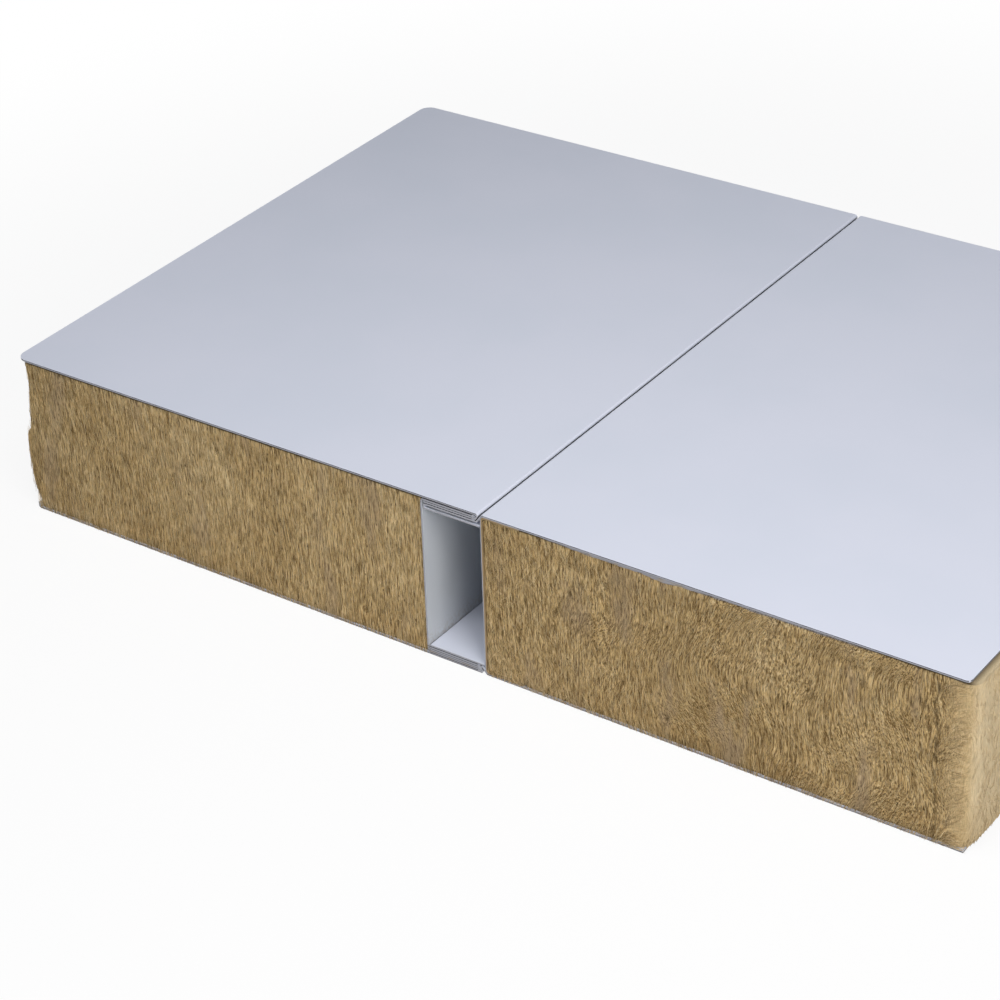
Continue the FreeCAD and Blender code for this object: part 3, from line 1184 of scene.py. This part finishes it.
@dataclass
class Studio:
    """A white floor and background, soft boxes and a dim even light."""

    floor_half: float = 6.0
    floor_drop: float = 0.05 * MM
    floor_colour: Colour = (0.86, 0.86, 0.87, 1.0)
    ambient: Colour = (0.08, 0.095, 0.118, 1.0)
    white: Colour = (1.0, 1.0, 1.0, 1.0)
    shadow_near: float = 0.2
    shadow_far: float = 0.42
    shadow_share: float = 0.1
    boxes: Sequence[SoftBox] = (
        SoftBox("key_box", (0.12, -0.24, 0.58), (0.08, -0.085, 0.05), 0.36, 2.6, (1.0, 0.98, 0.965)),
        SoftBox("side_box", (0.80, -0.52, 0.52), (0.1, 0.0, 0.02), 0.45, 4.5, (1.0, 0.98, 0.95)),
        SoftBox("fill_box", (-0.75, -0.60, 0.20), (0.0, -0.09, 0.03), 0.45, 0.4, (1.0, 0.99, 0.97)),
    )

    def build(self) -> None:
        """Adds the floor, the world and the lights."""
        self.build_floor()
        self.build_world()
        for box in self.boxes:
            box.build()

    @staticmethod
    def seen(graph: Graph) -> Term:
        """1 for what the camera sees, directly, in a reflection or through a surface."""
        path = graph.node("ShaderNodeLightPath", output="Is Camera Ray")
        mirrored = graph.math("MAXIMUM", path.peer("Is Glossy Ray"), path.peer("Is Transmission Ray"))
        return graph.math("MAXIMUM", path, mirrored)

    def build_floor(self) -> None:
        """A white floor that keeps a faint shadow close to the sample."""
        half = self.floor_half
        mesh = bpy.data.meshes.new("floor")
        corners = [(-half, -half), (half, -half), (half, half), (-half, half)]
        mesh.from_pydata([(x, y, -self.floor_drop) for x, y in corners], [], [(0, 1, 2, 3)])
        floor = put("floor", mesh)
        material = bpy.data.materials.new("floor_white")
        material.use_nodes = True
        graph = Graph(material.node_tree)
        graph.tree.nodes.clear()
        place = graph.node("ShaderNodeTexCoord", output="Object")
        distance = graph.vector("LENGTH", place, output="Value")
        plain = graph.ramp(distance, self.shadow_near, self.shadow_far)
        white = self.seen(graph) * (1 - self.shadow_share * (1 - plain))
        matte = graph.node("ShaderNodeBsdfDiffuse", {}, {"Color": self.floor_colour})
        glow = graph.node("ShaderNodeEmission", {}, {"Color": self.white, "Strength": 1.0})
        mixed = graph.node("ShaderNodeMixShader", {}, {0: white, 1: matte, 2: glow})
        graph.node("ShaderNodeOutputMaterial", {}, {"Surface": mixed}, None)
        mesh.materials.append(material)
        floor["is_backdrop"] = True

    def build_world(self) -> None:
        """White where it is seen, and a dim even light otherwise."""
        world = bpy.data.worlds.new("studio")
        bpy.context.scene.world = world
        world.use_nodes = True
        graph = Graph(world.node_tree)
        background = world.node_tree.nodes["Background"]
        graph.fill(background.inputs["Color"], graph.mix(self.seen(graph), self.ambient, self.white))
        graph.fill(background.inputs["Strength"], 1.0)


@dataclass
class PhotoCamera:
    """The camera, at the place and angles that the sample's straight edges give."""

    place: Point = (0.39009, -0.58430, 0.43967)
    azimuth: float = 37.338
    elevation: float = 32.0
    roll: float = -3.474
    lens: float = 103.849
    sensor: float = 36.0
    near: float = 0.01

    def build(self) -> None:
        """Adds the camera and makes it the scene's own."""
        data = bpy.data.cameras.new("photo_camera")
        data.lens = self.lens
        data.sensor_width = self.sensor
        data.clip_start = self.near
        camera = put("photo_camera", data)
        turn = Matrix.Rotation(math.radians(self.azimuth), 4, "Z")
        tip = Matrix.Rotation(math.radians(90 - self.elevation), 4, "X")
        spin = Matrix.Rotation(math.radians(self.roll), 4, "Z")
        camera.matrix_world = Matrix.Translation(self.place) @ turn @ tip @ spin
        bpy.context.scene.camera = camera


def wool_cores() -> list[WoolCore]:
    """The two panels' cores, with the outward shift of each end by height and the strands on each side."""
    left_end = (
        (0.5, -0.5), (2.2, -0.2), (6, 0.9), (10, 1.7), (19, 1.8), (24, 1.5), (25.5, 1.0),
        (27, -0.3), (33, -1.0), (37.5, -1.6), (42, -2.3), (46.6, -2.2), (49.5, -2.1),
    )
    right_end = ((0.5, 0.4), (5, 1.5), (15, 2.7), (30, 3.1), (44, 2.9), (47.5, 2.6), (49.5, 2.1))
    left_naps = (
        Nap(Side.FRONT, 19000, 5.0 * MM, 0.085 * MM, 0.11, 0.09),
        Nap(Side.BACK, 7500, 4.5 * MM, 0.26 * MM, 0.16, 0.06),
        Nap(Side.LEFT_END, 9000, 3.0 * MM, 0.11 * MM, 0.12, 0.0),
    )
    right_naps = (
        Nap(Side.FRONT, 18800, 5.4 * MM, 0.085 * MM, 0.17, 0.1),
        Nap(Side.BACK, 7500, 4.5 * MM, 0.26 * MM, 0.2, 0.08),
        Nap(Side.RIGHT_END, 9000, 3.5 * MM, 0.17 * MM, 0.6, 0.03),
    )
    return [
        WoolCore("left_wool", "left_wool_core", -1, left_end, left_naps, corner_radius=1.2 * MM),
        WoolCore("right_wool", "right_wool_core", 1, right_end, right_naps, flange_reach=12.5 * MM),
    ]


def main() -> None:
    """Builds the sample's looks, the studio and the camera in order."""
    logging.basicConfig(level=logging.INFO)
    bpy.context.scene.view_settings.view_transform = "Standard"
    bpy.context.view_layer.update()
    SheetMetal().dress()
    finish = WoolFinish()
    surface = WoolSurface(finish)
    strands = WoolStrands(finish)
    for core in wool_cores():
        core.build(surface, strands)
    GlueBead().build()
    Studio().build()
    PhotoCamera().build()


if __name__ == "__main__":
    main()
